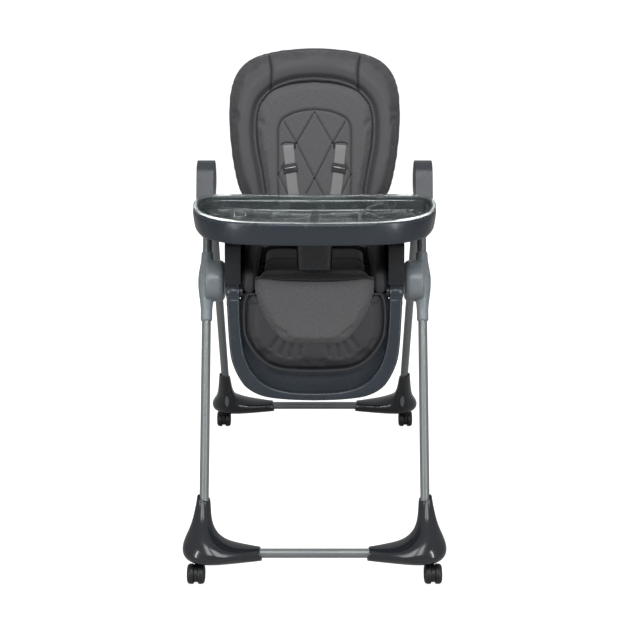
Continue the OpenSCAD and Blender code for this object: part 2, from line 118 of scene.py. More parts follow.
def softbox(name, power, width, height, place, target, mirrored_in_gloss=False):
    """A rectangular area light that faces the target. It either lights the object or, as a white
    card does, only shows in glossy surfaces."""
    lamp = bpy.data.lights.new(name, "AREA")
    lamp.shape = "RECTANGLE"
    lamp.size, lamp.size_y, lamp.energy = width, height, power
    made = placed(name, lamp)
    made.location = place
    made.rotation_mode = "QUATERNION"
    made.rotation_quaternion = (Vector(target) - Vector(place)).to_track_quat("-Z", "Y")
    made.visible_glossy = mirrored_in_gloss
    made.visible_diffuse = not mirrored_in_gloss


softbox("overhead_softbox", 24, 2.2, 1.8, (0, -0.4, 3.0), (0, 0, 0.6))
softbox("front_softbox", 124, 2.6, 1.0, (0, -2.5, 2.8), (0, 0, 0.5))
softbox("back_softbox", 46, 2.4, 1.6, (0, 2.6, 1.9), (0, 0, 0.6))
for side, word in ((-1, "left"), (1, "right")):
    softbox(word + "_card", 18, 0.16, 2.2, (side * 1.6, -2.1, 1.1), (0, 0, 0.6), True)
    softbox(word + "_overhead_card", 15, 0.45, 2.0, (side * 0.34, -2.0, 2.6), (side * 0.3, -0.5, 0.1), True)

floor_paint = bpy.data.materials.new("matt_white_studio_floor")
floor_paint.use_nodes = True
floor_tree = floor_paint.node_tree
floor_shader = floor_tree.nodes["Principled BSDF"]
floor_shader.inputs["Base Color"].default_value = linear("#a0a0a0")
floor_shader.inputs["Roughness"].default_value = 0.9
floor_shader.inputs["Specular IOR Level"].default_value = 0.0
floor_shader.inputs["Emission Color"].default_value = linear(backdrop_white)
floor_dust = add(floor_tree, "TexNoise", {"Scale": 3.0}, {
    "Vector": add(floor_tree, "TexCoord").outputs["Object"]})
floor_bump = add(floor_tree, "Bump", {"Strength": 0.05, "Distance": 0.001},
    {"Height": floor_dust.outputs["Fac"]})
floor_tree.links.new(floor_bump.outputs["Normal"], floor_shader.inputs["Normal"])
lifted = add(floor_tree, "MapRange", {"To Min": 0.0, "To Max": 0.9}, {
    "Value": add(floor_tree, "LightPath").outputs["Is Camera Ray"]})
floor_tree.links.new(lifted.outputs["Result"], floor_shader.inputs["Emission Strength"])
floor_bm = bmesh.new()
bmesh.ops.create_grid(floor_bm, x_segments=2, y_segments=2, size=14)
floor_mesh = bpy.data.meshes.new("floor")
floor_bm.to_mesh(floor_mesh)
floor_bm.free()
floor_mesh.materials.append(floor_paint)
placed("floor", floor_mesh)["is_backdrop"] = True

# ---- Legs and crossbars ----
# Four round steel tubes, 20.5 mm across, and two crossbars between the feet, sprayed with a
# silver-grey powder coat and baked. The CAD nodes have the right shape and take the finish.


def material(name):
    """A new material with its node tree, its shader and the piece's own coordinates in metres."""
    made = bpy.data.materials.new(name)
    made.use_nodes = True
    tree = made.node_tree
    return made, tree, tree.nodes["Principled BSDF"], add(tree, "TexCoord").outputs["Object"]


def shade(code, share):
    """The linear colour made lighter or darker by a share."""
    return [min(1.0, c * share) for c in linear(code)[:3]] + [1.0]


def finished(tree, shader, colour, fac, low, high, height, strength, depth, **sockets):
    """Links the colour, a roughness that wanders from low to high with fac, and a bump whose depth
    is in millimetres. Sockets are the shader's own; an underscore stands for a space."""
    gloss = add(tree, "MapRange", {"From Min": 0.3, "From Max": 0.7, "To Min": low, "To Max": high},
        {"Value": fac})
    bump = add(tree, "Bump", {"Strength": strength, "Distance": depth / 1000}, {"Height": height})
    tree.links.new(colour, shader.inputs["Base Color"])
    tree.links.new(gloss.outputs["Result"], shader.inputs["Roughness"])
    tree.links.new(bump.outputs["Normal"], shader.inputs["Normal"])
    for key, value in sockets.items():
        shader.inputs[key.replace("_", " ")].default_value = value


def powder_coat(name, code):
    """Powder-coated steel: a satin skin with fine orange peel about 1.2 mm across."""
    made, tree, shader, place = material(name)
    cloud = add(tree, "TexNoise", {"Scale": 18.0, "Detail": 4.0}, {"Vector": place})
    flakes = add(tree, "TexNoise", {"Scale": 2600.0, "Detail": 1.0}, {"Vector": place})
    base = add(tree, "Mix", {"data_type": "RGBA", 6: shade(code, 0.93), 7: shade(code, 1.06)},
        {0: cloud.outputs["Fac"]})
    glint = add(tree, "Mix", {"data_type": "RGBA", "blend_type": "SOFT_LIGHT", 0: 0.35},
        {6: base.outputs[2], 7: flakes.outputs["Color"]})
    peel = add(tree, "TexVoronoi", {"feature": "SMOOTH_F1", "Scale": 830.0}, {"Vector": place})
    finished(tree, shader, glint.outputs[2], cloud.outputs["Fac"], 0.3, 0.38, peel.outputs["Distance"],
        0.15, 0.05, Metallic=0.35, Coat_Weight=0.3, Coat_Roughness=0.12)
    return made


grey_powder_coat = powder_coat("powder_coated_steel", "#727677")
for tube in ("front_leg_left", "front_leg_right", "rear_leg_left", "rear_leg_right",
        "front_crossbar", "rear_crossbar"):
    tube_mesh = frame["nodes"][tube].data
    tube_mesh.materials.clear()
    tube_mesh.materials.append(grey_powder_coat)

# ---- Feet ----
# Four boots of glossy slate polypropylene, injection moulded in one piece: a collar round the
# leg swells into a rounded heel and runs inwards as a tapered arm that grips the crossbar.

millimetres = Matrix.Scale(0.001, 4)
sides = ((1, "left"), (-1, "right"))
foot_middle = 391                      # depth of a foot's middle, either side of the origin
leg_across = 244                       # from the middle of the chair to the middle of a leg
front_lean, rear_lean = 27.2, 22.5     # degrees from upright
# Across and height of the inner and the outer skin, depth of the middle at a share of the
# leg's own lean, and half the depth, from the collar down and along the arm
foot_sections = [
    ((230.5, 150), (259.5, 160), 1.0, 14.6), ((229, 143), (261, 149), 1.0, 15.8),
    ((227.5, 128), (265.5, 131), 0.9, 19.5), ((222, 115), (272, 113), 0.66, 27),
    ((212, 103), (283, 96), 0.42, 34), ((195, 92), (290.5, 76), 0.18, 40),
    ((175, 85.5), (283, 57), 0.06, 41), ((156, 83), (257, 47.5), 0.0, 38),
    ((140, 81.5), (216, 45.5), 0.0, 31), ((127, 80.6), (161, 48), 0.0, 23),
    ((119, 80.6), (114, 51), 0.0, 17)]


def ring_between(inner, outer, depth, half_depth):
    """Matrix that lays a unit circle between two points of a section, in millimetres."""
    a = Vector((inner[0], 0, inner[1]))
    b = Vector((outer[0], 0, outer[1]))
    first, second = (b - a) / 2, Vector((0, half_depth, 0))
    middle = (a + b) / 2 + Vector((0, depth, 0))
    made = Matrix.Identity(4)
    for column, axis in enumerate((first, second, first.cross(second).normalized(), middle)):
        for row in range(3):
            made[row][column] = axis[row]
    return made


def swept(rings, corners, power=2.0):
    """A bmesh skin over rings; each is a matrix that places a unit circle."""
    bm = bmesh.new()
    ring = bmesh.ops.create_circle(bm, cap_ends=False, segments=corners, radius=1)["verts"]
    for v in ring:
        v.co.x = math.copysign(abs(v.co.x) ** (2 / power), v.co.x)
        v.co.y = math.copysign(abs(v.co.y) ** (2 / power), v.co.y)
    bmesh.ops.transform(bm, matrix=rings[0], verts=ring)
    for before, after in zip(rings, rings[1:]):
        last = set(ring)
        edges = [e for e in bm.edges if e.verts[0] in last and e.verts[1] in last]
        grown = bmesh.ops.extrude_edge_only(bm, edges=edges)["geom"]
        ring = [g for g in grown if isinstance(g, bmesh.types.BMVert)]
        bmesh.ops.transform(bm, matrix=after @ before.inverted(), verts=ring)
    bmesh.ops.holes_fill(bm, edges=[e for e in bm.edges if e.is_boundary], sides=0)
    bmesh.ops.recalc_face_normals(bm, faces=bm.faces)
    return bm


def piece(name, bm, place, body, finishes, nodes=(), sharp=45):
    """Makes a bmesh a named piece that rides on a body and stands for CAD nodes."""
    bm.transform(place)
    if place.determinant() < 0:
        bmesh.ops.recalc_face_normals(bm, faces=bm.faces)
    mesh = bpy.data.meshes.new(name)
    bm.to_mesh(mesh)
    bm.free()
    for face in mesh.polygons:
        face.use_smooth = True
    mesh.set_sharp_from_angle(angle=math.radians(sharp))
    for finish in finishes:
        mesh.materials.append(finish)
    made = placed(name, mesh)
    if body:
        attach(made, body)
    if nodes:
        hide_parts(*nodes)
    return made


def modify(made, kind, **settings):
    """Adds a modifier with its settings."""
    modifier = made.modifiers.new(kind.lower(), kind)
    for key, value in settings.items():
        setattr(modifier, key, value)
    return modifier


def moulded(name, code, low, high, grain, depth, wear, coat=0.0):
    """Injection-moulded plastic: grain is the texture's size and depth its depth, in millimetres.
    Slow flow marks vary tone and gloss, edges rub paler, and faint scuffs mark the skin."""
    made, tree, shader, place = material(name)
    flow = add(tree, "TexNoise", {"Scale": 22.0, "Detail": 5.0, "Distortion": 0.6}, {"Vector": place})
    base = add(tree, "Mix", {"data_type": "RGBA", 6: shade(code, 0.9), 7: shade(code, 1.1)},
        {0: flow.outputs["Fac"]})
    ridge = add(tree, "NewGeometry").outputs["Pointiness"]
    rubbed = add(tree, "MapRange", {"From Min": 0.54, "From Max": 0.66, "To Min": 0.0, "To Max": wear},
        {"Value": ridge})
    edged = add(tree, "Mix", {"data_type": "RGBA", 7: shade(code, 2.0)},
        {0: rubbed.outputs["Result"], 6: base.outputs[2]})
    skin = add(tree, "TexNoise", {"Scale": 1000 / grain, "Detail": 2.0}, {"Vector": place})
    stretch = add(tree, "Mapping", {"Scale": (9.0, 160.0, 40.0), "Rotation": (0.3, 0.5, 0.7)},
        {"Vector": place})
    scuff = add(tree, "TexNoise", {"Scale": 3.0, "Detail": 6.0}, {"Vector": stretch.outputs["Vector"]})
    height = add(tree, "Math", {"operation": "MULTIPLY_ADD", 1: 0.03},
        {0: scuff.outputs["Fac"], 2: skin.outputs["Fac"]})
    finished(tree, shader, edged.outputs[2], flow.outputs["Fac"], low, high, height.outputs[0], 0.2, depth,
        Coat_Weight=coat, Coat_Roughness=0.08)
    return made


gloss_slate = moulded("gloss_slate_polypropylene", "#1a1d21", 0.13, 0.19, 2.4, 0.01, 0.25, coat=0.3)


def foot(name, body, side, end, lean, start, taller):
    """A foot with its collar and arm end turned in round the tubes. The leg's line starts at a
    depth of start on the floor, and taller lifts the collar."""
    def depth(z, share):
        return share * (start + z * math.tan(math.radians(lean)))
    rises = [taller * share for share in (1.0, 0.95, 0.4)] + [0] * len(foot_sections)
    rings = [ring_between((a[0], a[1] + rise), (b[0], b[1] + rise), depth((a[1] + b[1]) / 2 + rise, share),
        half)
        for (a, b, share, half), rise in zip(foot_sections, rises)]
    top, tip = rings[0], rings[-1]
    bore = Matrix.Diagonal((0.76, 0.76, 1, 1))
    lip = Matrix.Diagonal((0.95, 0.95, 1, 1))
    socket = Matrix.Diagonal((0.72, 0.64, 1, 1))
    down = Matrix.Translation((0, 0, -8))
    inwards = Matrix.Translation((9, 0, 0))
    rings = [down @ top @ bore, top @ bore, top @ lip, top] + rings[1:-1]
    rings += [tip, tip @ lip, tip @ socket, inwards @ tip @ socket]
    made = piece(name + "_boot", swept(rings, 24, 2.15),
        Matrix.Diagonal((side, 1, 1, 1)) @ millimetres @ Matrix.Translation((0, end * foot_middle, 0))
        @ Matrix.Diagonal((1, -end, 1, 1)), body, [gloss_slate], [name], sharp=60)
    modify(made, "SUBSURF", levels=2, render_levels=2)
    return made


for side, word in sides:
    foot("front_foot_" + word, "front_frame", side, -1, front_lean, start=-6.3, taller=6)
    foot("rear_foot_" + word, "rear_frame", side, 1, rear_lean, start=0.35, taller=38)

# ---- Casters ----
# Four swivel casters of black nylon: a stem and hood between twin wheels, whose barrel-shaped
# treads are turned with a soft shoulder, a rim groove and a dished hub.

bodies = frame["record"]["behaviour"]["bodies"]
body_of_node = {node: body for body, nodes in bodies.items() for node in nodes}
black_nylon = moulded("black_nylon", "#17181a", 0.4, 0.52, 0.9, 0.04, 0.3)


def eased(node, finishes, width, segments=3, soft=None, soft_width=0.0):
    """A copy of a CAD node, merged, with its moulded edges rounded, in millimetres. The edges
    whose two ends soft accepts are rounded first and by more."""
    bm = bmesh.new()
    bm.from_mesh(frame["nodes"][node].data)
    bmesh.ops.remove_doubles(bm, verts=bm.verts, dist=2e-5)
    bmesh.ops.dissolve_limit(bm, angle_limit=math.radians(1.5), verts=bm.verts, edges=bm.edges)
    if soft:
        rim = [e for e in bm.edges if soft(e.verts[0].co * 1000) and soft(e.verts[1].co * 1000)
            and len(e.link_faces) == 2 and e.calc_face_angle(0) > 0.6]
        bmesh.ops.bevel(bm, geom=rim, offset=soft_width / 1000, segments=6, profile=0.5, affect="EDGES",
            material=-1, clamp_overlap=True)
    made = piece(node + "_moulding", bm, Matrix.Identity(4), body_of_node[node], finishes, [node], 40)
    modify(made, "BEVEL", width=width / 1000, segments=segments, limit_method="ANGLE",
        angle_limit=math.radians(38))
    modify(made, "WEIGHTED_NORMAL", keep_sharp=False)
    return made


def turned(profile, turn, steps):
    """A closed profile of radius and length, spun round Z and then turned by a matrix."""
    bm = bmesh.new()
    points = [bm.verts.new((r, 0, z)) for r, z in profile]
    loop = [bm.edges.new((a, b)) for a, b in zip(points, points[1:])]
    bmesh.ops.spin(bm, geom=points + loop, cent=(0, 0, 0), axis=(0, 0, 1), dvec=(0, 0, 0),
        angle=2 * math.pi, steps=steps, use_merge=True, use_duplicate=False)
    bmesh.ops.remove_doubles(bm, verts=bm.verts, dist=1e-4)
    bmesh.ops.recalc_face_normals(bm, faces=bm.faces)
    bmesh.ops.transform(bm, matrix=turn, verts=bm.verts)
    return bm


def joined(first, *others):
    """Adds the other bmeshes to the first one."""
    for other in others:
        spare = bpy.data.meshes.new("spare")
        other.to_mesh(spare)
        other.free()
        first.from_mesh(spare)
        bpy.data.meshes.remove(spare)
    return first


caster_across, caster_along, axle_height = 258, 401, 22
# Radius and distance from the middle of the caster, from the inner hub out and back
wheel_profile = [
    (0, 4.7), (6, 4.7), (19.8, 4.7), (21.3, 5.3), (22, 6.8), (22, 9.6), (21.5, 10), (21.5, 10.8), (22, 11.2),
    (21.9, 13), (21, 15.6), (19.4, 17.6), (17.2, 18.7), (15.6, 18.9), (14.9, 18.2), (14.6, 15.8),
    (13.4, 15.2), (7.4, 15.2), (6.4, 15.9), (5.9, 17.6), (5.2, 18.3), (0, 18.6)]
across_axis = Matrix.Rotation(math.radians(90), 4, "Y")
for side, word in sides:
    for end, row in ((-1, "front"), (1, "rear")):
        corner = f"{row}_{word}"
        axle = Matrix.Translation((side * caster_across, end * caster_along, axle_height)) @ across_axis
        wheels = joined(turned(wheel_profile, axle, 48),
            turned(wheel_profile, axle @ Matrix.Rotation(math.pi, 4, "X"), 48))
        bmesh.ops.create_cone(wheels, cap_ends=True, segments=24, radius1=2.9, radius2=2.9, depth=12,
            matrix=axle)
        piece(f"caster_tyres_{corner}", wheels, millimetres, f"wheels_{corner}", [black_nylon],
            [f"caster_wheels_{corner}"], 40)
        eased(f"caster_hood_{corner}", [black_nylon], 0.8)

# ---- Fold hinges ----
# The ears at the top of the frame: a satin slate polypropylene housing on the front leg, a
# knuckle on the rear leg that turns inside it, a steel pin, and a round release button.

satin_slate = moulded("satin_slate_polypropylene", "#26292d", 0.24, 0.34, 1.1, 0.03, 0.3)


def bright_steel(name, code):
    """Zinc-plated steel: pale grey with a faint brushed lay about 0.4 mm wide."""
    made, tree, shader, place = material(name)
    lay = add(tree, "Mapping", {"Scale": (2500.0, 60.0, 60.0)}, {"Vector": place})
    brushed = add(tree, "TexNoise", {"Scale": 1.0, "Detail": 3.0}, {"Vector": lay.outputs["Vector"]})
    tone = add(tree, "Mix", {"data_type": "RGBA", 6: shade(code, 0.8), 7: shade(code, 1.05)},
        {0: brushed.outputs["Fac"]})
    finished(tree, shader, tone.outputs[2], brushed.outputs["Fac"], 0.22, 0.36, brushed.outputs["Fac"],
        0.2, 0.02, Metallic=1.0)
    return made


zinc_steel = bright_steel("zinc_plated_steel", "#b9bcbd")
ear_outer, ear_bottom = leg_across + 6 + 19.4, 738
for word in ("left", "right"):
    eased("hinge_housing_" + word, [satin_slate], 1.4,
        soft=lambda co: abs(co.x) > ear_outer and co.z > ear_bottom, soft_width=7)
    eased("rear_knuckle_" + word, [satin_slate], 1.2)
    eased("fold_button_" + word, [black_nylon], 0.6)
for node in ("fold_pins", "seat_pins", "front_foot_screws", "rear_foot_screws"):
    eased(node, [zinc_steel], 0.4, segments=2)

# ---- Height sliders ----
# A grey polypropylene spindle slides on each front leg and carries a round hub that holds the
# seat; a black key on the back of the hub frees it. Hub and spindle are one moulding.

spark_grey = moulded("spark_textured_grey_polypropylene", "#71787c", 0.24, 0.32, 0.8, 0.02, 0.2)
leg_top_depth, leg_top, slider_height = 38.99, 849, 593
slider_depth = leg_top_depth - (leg_top - slider_height) * math.tan(math.radians(front_lean))
front_leg_turn = Matrix.Rotation(math.radians(-front_lean), 4, "X")
spindle_profile = [
    (0, 66), (12.2, 66), (13.2, 65), (13.5, 56), (14, 46), (15.6, 36), (17.4, 26), (19.2, 14), (20, 2),
    (19.7, -12), (18.4, -26), (16.6, -39), (14.8, -52), (13.9, -60), (13.4, -66),
    (13.3, -90), (12.3, -92), (0, -92)]
hub_profile = [(0, 0), (44, 0), (46.5, 1.5), (47, 4), (47, 29), (46, 34), (43, 38.5), (38, 41), (32, 41.5),
    (31.2, 39.5), (0, 39.5)]
for side, word in sides:
    at_slider = Matrix.Translation((leg_across, slider_depth, slider_height))
    slider_bm = joined(turned(spindle_profile, at_slider @ front_leg_turn, 40),
        turned(hub_profile, at_slider @ Matrix.Rotation(math.radians(-90), 4, "Y"), 56))
    slider = piece("slider_moulding_" + word, slider_bm, Matrix.Diagonal((side, 1, 1, 1)) @ millimetres,
        "seat", [spark_grey], ["slider_" + word])
    modify(slider, "REMESH", mode="VOXEL", voxel_size=0.0016, use_smooth_shade=True)
    modify(slider, "SMOOTH", factor=0.5, iterations=8)
    eased("height_button_" + word, [black_nylon], 1.6, segments=4)

# ---- Seat frame ----
# Two satin slate side mouldings joined by a pan under the cushion, with an armrest on each; the
# edges carry the generous round of a moulding that hands touch. Steel pins hold back and leg rest.

shell_slate = moulded("satin_slate_abs", "#262c33", 0.22, 0.3, 1.3, 0.012, 0.35)
# A darker copy of the satin slate ABS. Its extra darkness is painted shade for the seat sides, armrests, pan
# and crotch post, which lie in the tray's shadow.
shaded_frame_slate = moulded("satin_slate_abs_with_painted_shade", "#191c20", 0.22, 0.3, 1.3, 0.012, 0.35)
for word in ("left", "right"):
    eased("seat_side_" + word, [shaded_frame_slate], 2.4, segments=4)
    eased("armrest_" + word, [shaded_frame_slate], 2.4, segments=4)
eased("seat_pan", [shaded_frame_slate], 1.2)

# ---- Seat cushion ----
# A padded liner on the pan: a middle panel of dark melange weave with a piped front edge, and a
# bolster of dark coated fabric along each side. Both are darker than the same fabrics elsewhere on the
# chair, which is painted shade from the tray above, with some of the seat's own darker tone in the panel.
# The pieces are foam-filled and sewn.


def curved(points, steps):
    """Points on a smooth curve through the given ones."""
    last = len(points) - 1
    made = []
    for i in range(last):
        a, b, c, d = (Vector(points[min(max(i + k, 0), last)]) for k in (-1, 0, 1, 2))
        for t in (j / steps for j in range(steps)):
            made.append(0.5 * (2 * b + (c - a) * t + (2 * a - 5 * b + 4 * c - d) * t ** 2
                + (3 * b - a - 3 * c + d) * t ** 3))
    return made + [Vector(points[-1])]


def mirrored(half, steps=4):
    """A closed outline from its right half, which runs from the top middle to the bottom middle."""
    right = curved(half, steps)
    return right[::-1] + [Vector((-p.x, p.y)) for p in right[1:-1]]


def slab(outline, low, high, width, segments=4):
    """A plate cut to an outline, with both rims rounded."""
    bm = bmesh.new()
    face = bm.faces.new([bm.verts.new((p[0], p[1], low)) for p in outline])
    grown = bmesh.ops.extrude_face_region(bm, geom=[face])["geom"]
    bmesh.ops.translate(bm, verts=[g for g in grown if isinstance(g, bmesh.types.BMVert)],
        vec=(0, 0, high - low))
    bmesh.ops.recalc_face_normals(bm, faces=bm.faces)
    rims = [e for e in bm.edges if abs(e.verts[0].co.z - e.verts[1].co.z) < 1e-6]
    bmesh.ops.bevel(bm, geom=rims, offset=width, segments=segments, profile=0.5, affect="EDGES", material=-1)
    return bm


def evaluated_copy(made):
    """The piece's mesh with its modifiers in it, which are then removed."""
    graph = bpy.context.evaluated_depsgraph_get()
    graph.update()
    mesh = bpy.data.meshes.new_from_object(made.evaluated_get(graph))
    made.modifiers.clear()
    made.data = mesh
    return mesh


def coordinates(mesh):
    """The mesh's points as rows of x, y and z."""
    flat = np.zeros(len(mesh.vertices) * 3, np.float32)
    mesh.vertices.foreach_get("co", flat)
    return flat.reshape(-1, 3).astype(float)


def set_coordinates(mesh, rows):
    """Moves the mesh's points."""
    mesh.vertices.foreach_set("co", rows.astype(np.float32).ravel())
    mesh.update()


def stuffed(name, bm, finishes, cap, back_z, voxel=4.5, pressure=4.0):
    """A stuffed pad, in its own flat frame in millimetres: remeshed, swollen by cloth pressure
    by at most cap, held down where it lies on its backing at back_z, and subdivided once."""
    made = piece(name, bm, millimetres, None, finishes)
    modify(made, "REMESH", mode="VOXEL", voxel_size=voxel / 1000)
    rest = coordinates(evaluated_copy(made))
    cloth = modify(made, "CLOTH").settings
    cloth.quality = 5
    cloth.use_pressure = True
    cloth.uniform_pressure_force = pressure
    cloth.effector_weights.gravity = 0
    cloth.tension_stiffness = cloth.compression_stiffness = 12
    cloth.shear_stiffness = 5
    cloth.bending_stiffness = 0.4
    for step in range(1, 21):
        bpy.context.scene.frame_set(step)
    swollen = coordinates(evaluated_copy(made))
    bpy.context.scene.frame_set(1)
    move = swollen - rest
    reach = np.linalg.norm(move, axis=1, keepdims=True)
    move *= np.minimum(1.0, cap / 1000 / np.maximum(reach, 1e-9))
    held = np.clip((rest[:, 2:] * 1000 - back_z) / 4.0, 0.0, 1.0)
    set_coordinates(made.data, rest + move * held)
    modify(made, "SUBSURF", levels=1, render_levels=1)
    evaluated_copy(made)
    for face in made.data.polygons:
        face.use_smooth = True
    return made


def distance_to(path, points):
    """How far each point, in x and y, is from a path, in the same units."""
    best = np.full(len(points), 1e9)
    for a, b in zip(path, path[1:]):
        a, b = np.array(a[:2]), np.array(b[:2])
        t = np.clip(((points - a) @ (b - a)) / max((b - a) @ (b - a), 1e-12), 0, 1)
        best = np.minimum(best, np.linalg.norm(points - (a + t[:, None] * (b - a)), axis=1))
    return best


def inside(outline, points):
    """1 for each point in a closed outline and 0 for the rest."""
    crossed = np.zeros(len(points), bool)
    for a, b in zip(outline, outline[1:] + outline[:1]):
        if a[1] != b[1]:
            level = (points[:, 1] - a[1]) / (b[1] - a[1])
            spans = (a[1] > points[:, 1]) != (b[1] > points[:, 1])
            crossed ^= spans & (points[:, 0] < a[0] + level * (b[0] - a[0]))
    return crossed.astype(float)


def sewn(made, path, depth, width, front_z):
    """Pulls a stitched channel into the front of a pad along a path; sizes in millimetres."""
    rows = coordinates(made.data)
    away = distance_to(path, rows[:, :2] * 1000)
    front = np.clip((rows[:, 2] * 1000 - front_z) / 3.0, 0.0, 1.0)
    rows[:, 2] -= depth / 1000 * np.exp(-(away / width) ** 2) * front
    set_coordinates(made.data, rows)


def laid_on(pad, path, lift):
    """The path's points at the height of the pad's front under them, in millimetres."""
    rows = coordinates(pad.data) * 1000
    made = []
    for p in path:
        near = rows[np.hypot(rows[:, 0] - p[0], rows[:, 1] - p[1]) < 5.0]
        top = near[:, 2].max() if len(near) else 0.0
        made.append(Vector((p[0], p[1], top + lift)))
    return made


def piping(name, path, radius, place, body, finish, closed=False):
    """A cord of fabric piping along a path, as a round tube; sizes in millimetres."""
    line = bpy.data.curves.new(name, "CURVE")
    line.dimensions = "3D"
    line.bevel_depth = radius
    line.bevel_resolution = 3
    line.use_fill_caps = not closed
    spline = line.splines.new("POLY")
    spline.points.add(len(path) - 1)
    for point, p in zip(spline.points, path):
        point.co = (p[0], p[1], p[2], 1)
    spline.use_cyclic_u = closed
    holder = placed(name + "_line", line)
    bm = bmesh.new()
    spare = bpy.data.meshes.new_from_object(holder)
    bm.from_mesh(spare)
    bpy.data.meshes.remove(spare)
    bpy.data.objects.remove(holder)
    bpy.data.curves.remove(line)
    bmesh.ops.remove_doubles(bm, verts=bm.verts, dist=1e-3)
    bmesh.ops.recalc_face_normals(bm, faces=bm.faces)
    return piece(name, bm, place @ millimetres, body, [finish], sharp=60)


def settled(pad, place, body, nodes):
    pad.data.transform(place)
    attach(pad, body)
    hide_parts(*nodes)


def seam_shaded(tree, colour):
    """The colour, darkened with painted shade where seams and folds are concave."""
    ridge = add(tree, "NewGeometry").outputs["Pointiness"]
    depth = add(tree, "MapRange", {"From Min": 0.43, "From Max": 0.49, "To Min": 0.3, "To Max": 1.0},
        {"Value": ridge})
    return add(tree, "Mix", {"data_type": "RGBA", "blend_type": "MULTIPLY", 0: 1.0},
        {6: colour, 7: depth.outputs["Result"]}).outputs[2]


def melange_weave(name, dark, light):
    """Melange polyester: plain weave of mottled yarn. The real thread is about 0.5 mm, which is
    drawn here at 1.6 mm so that it shows, with slubs a few millimetres long along both threads."""
    made, tree, shader, place = material(name)
    split = add(tree, "SeparateXYZ", {}, {"Vector": place})
    along = add(tree, "Math", {"operation": "ADD"}, {0: split.outputs["Y"], 1: split.outputs["Z"]})
    flat = add(tree, "CombineXYZ", {}, {"X": split.outputs["X"], "Y": along.outputs[0]}).outputs["Vector"]
    warp = add(tree, "TexWave", {"bands_direction": "X", "Scale": 196.0, "Distortion": 0.6, "Detail": 2.0},
        {"Vector": flat})
    weft = add(tree, "TexWave", {"bands_direction": "Y", "Scale": 196.0, "Distortion": 0.6, "Detail": 2.0},
        {"Vector": flat})
    thread = add(tree, "Math", {"operation": "MAXIMUM"}, {0: warp.outputs["Fac"], 1: weft.outputs["Fac"]})
    slub_x = add(tree, "Mapping", {"Scale": (120.0, 620.0, 1.0)}, {"Vector": flat})
    slub_y = add(tree, "Mapping", {"Scale": (620.0, 120.0, 1.0)}, {"Vector": flat})
    streak_x = add(tree, "TexNoise", {"Scale": 1.0, "Detail": 3.0}, {"Vector": slub_x.outputs["Vector"]})
    streak_y = add(tree, "TexNoise", {"Scale": 1.0, "Detail": 3.0}, {"Vector": slub_y.outputs["Vector"]})
    mottle = add(tree, "Math", {"operation": "MULTIPLY"},
        {0: streak_x.outputs["Fac"], 1: streak_y.outputs["Fac"]})
    spread = add(tree, "MapRange", {"From Min": 0.14, "From Max": 0.38}, {"Value": mottle.outputs[0]})
    yarn = add(tree, "Mix", {"data_type": "RGBA", 6: linear(dark), 7: linear(light)},
        {0: spread.outputs["Result"]})
    # Painted shade: the gaps between the threads are darkened to 80 per cent of the yarn's colour.
    thread_gap_shade = add(tree, "MapRange", {"From Min": 0.0, "From Max": 0.6, "To Min": 0.8, "To Max": 1.0},
        {"Value": thread.outputs[0]})
    gap_shaded_yarn = add(tree, "Mix", {"data_type": "RGBA", "blend_type": "MULTIPLY", 0: 1.0},
        {6: yarn.outputs[2], 7: thread_gap_shade.outputs["Result"]})
    finished(tree, shader, seam_shaded(tree, gap_shaded_yarn.outputs[2]), spread.outputs["Result"], 0.82, 0.92,
        thread.outputs[0], 0.5, 0.25, Sheen_Weight=0.25, Sheen_Roughness=0.4, Specular_IOR_Level=0.2)
    return made


def coated_fabric(name, code, low, high):
    """Polyurethane-coated fabric: pebbled grain about 1.6 mm across with finer creases."""
    made, tree, shader, place = material(name)
    cloud = add(tree, "TexNoise", {"Scale": 14.0, "Detail": 4.0}, {"Vector": place})
    pebble = add(tree, "TexVoronoi", {"feature": "DISTANCE_TO_EDGE", "Scale": 620.0}, {"Vector": place})
    valley = add(tree, "MapRange", {"From Min": 0.0, "From Max": 0.12},
        {"Value": pebble.outputs["Distance"]})
    crease = add(tree, "TexNoise", {"Scale": 260.0, "Detail": 5.0}, {"Vector": place})
    tone = add(tree, "Mix", {"data_type": "RGBA", 6: shade(code, 0.9), 7: shade(code, 1.08)},
        {0: cloud.outputs["Fac"]})
    # Painted shade: the valleys between the pebbles are darkened to 78 per cent of the colour.
    valley_shaded = add(tree, "Mix", {"data_type": "RGBA", 6: shade(code, 0.78)},
        {0: valley.outputs["Result"], 7: tone.outputs[2]})
    height = add(tree, "Math", {"operation": "MULTIPLY_ADD", 1: 0.5},
        {0: crease.outputs["Fac"], 2: valley.outputs["Result"]})
    finished(tree, shader, seam_shaded(tree, valley_shaded.outputs[2]), cloud.outputs["Fac"], low, high,
        height.outputs[0], 0.3, 0.12, Sheen_Weight=0.05, Specular_IOR_Level=0.4)
    return made


melange = melange_weave("melange_polyester_weave", "#49494a", "#565658")
# A darker copy of the melange for the seat cushion: the seat's own darker tone plus painted shade from the
# tray above it.
seat_melange_with_painted_shade = melange_weave("melange_polyester_weave_with_painted_shade", "#262628", "#303032")
dark_leather = coated_fabric("polyurethane_coated_fabric", "#3d3d40", 0.46, 0.58)
# A darker copy of the coated fabric, used for the leg pad and the seat bolsters. On the bolsters its
# darkness is painted shade from the tray above.
leg_leather = coated_fabric("dark_polyurethane_coated_fabric", "#28282b", 0.46, 0.58)
binding = coated_fabric("coated_piping", "#1f1f21", 0.42, 0.52)

seat_place = Matrix.Translation((0, -0.034, 0.584))
seat_half = [(0, 136), (100, 136), (119, 128), (122, 96), (124, -60), (131, -134), (124, -147), (60, -149),
    (0, -149)]
seat_outline = mirrored(seat_half)
# The seat pad takes the darker melange, painted with the tray's shade.
seat_pad = stuffed("seat_cushion_pad", slab(seat_outline, 1.5, 28, 8), [seat_melange_with_painted_shade], 7, 3)
seat_rows = coordinates(seat_pad.data)
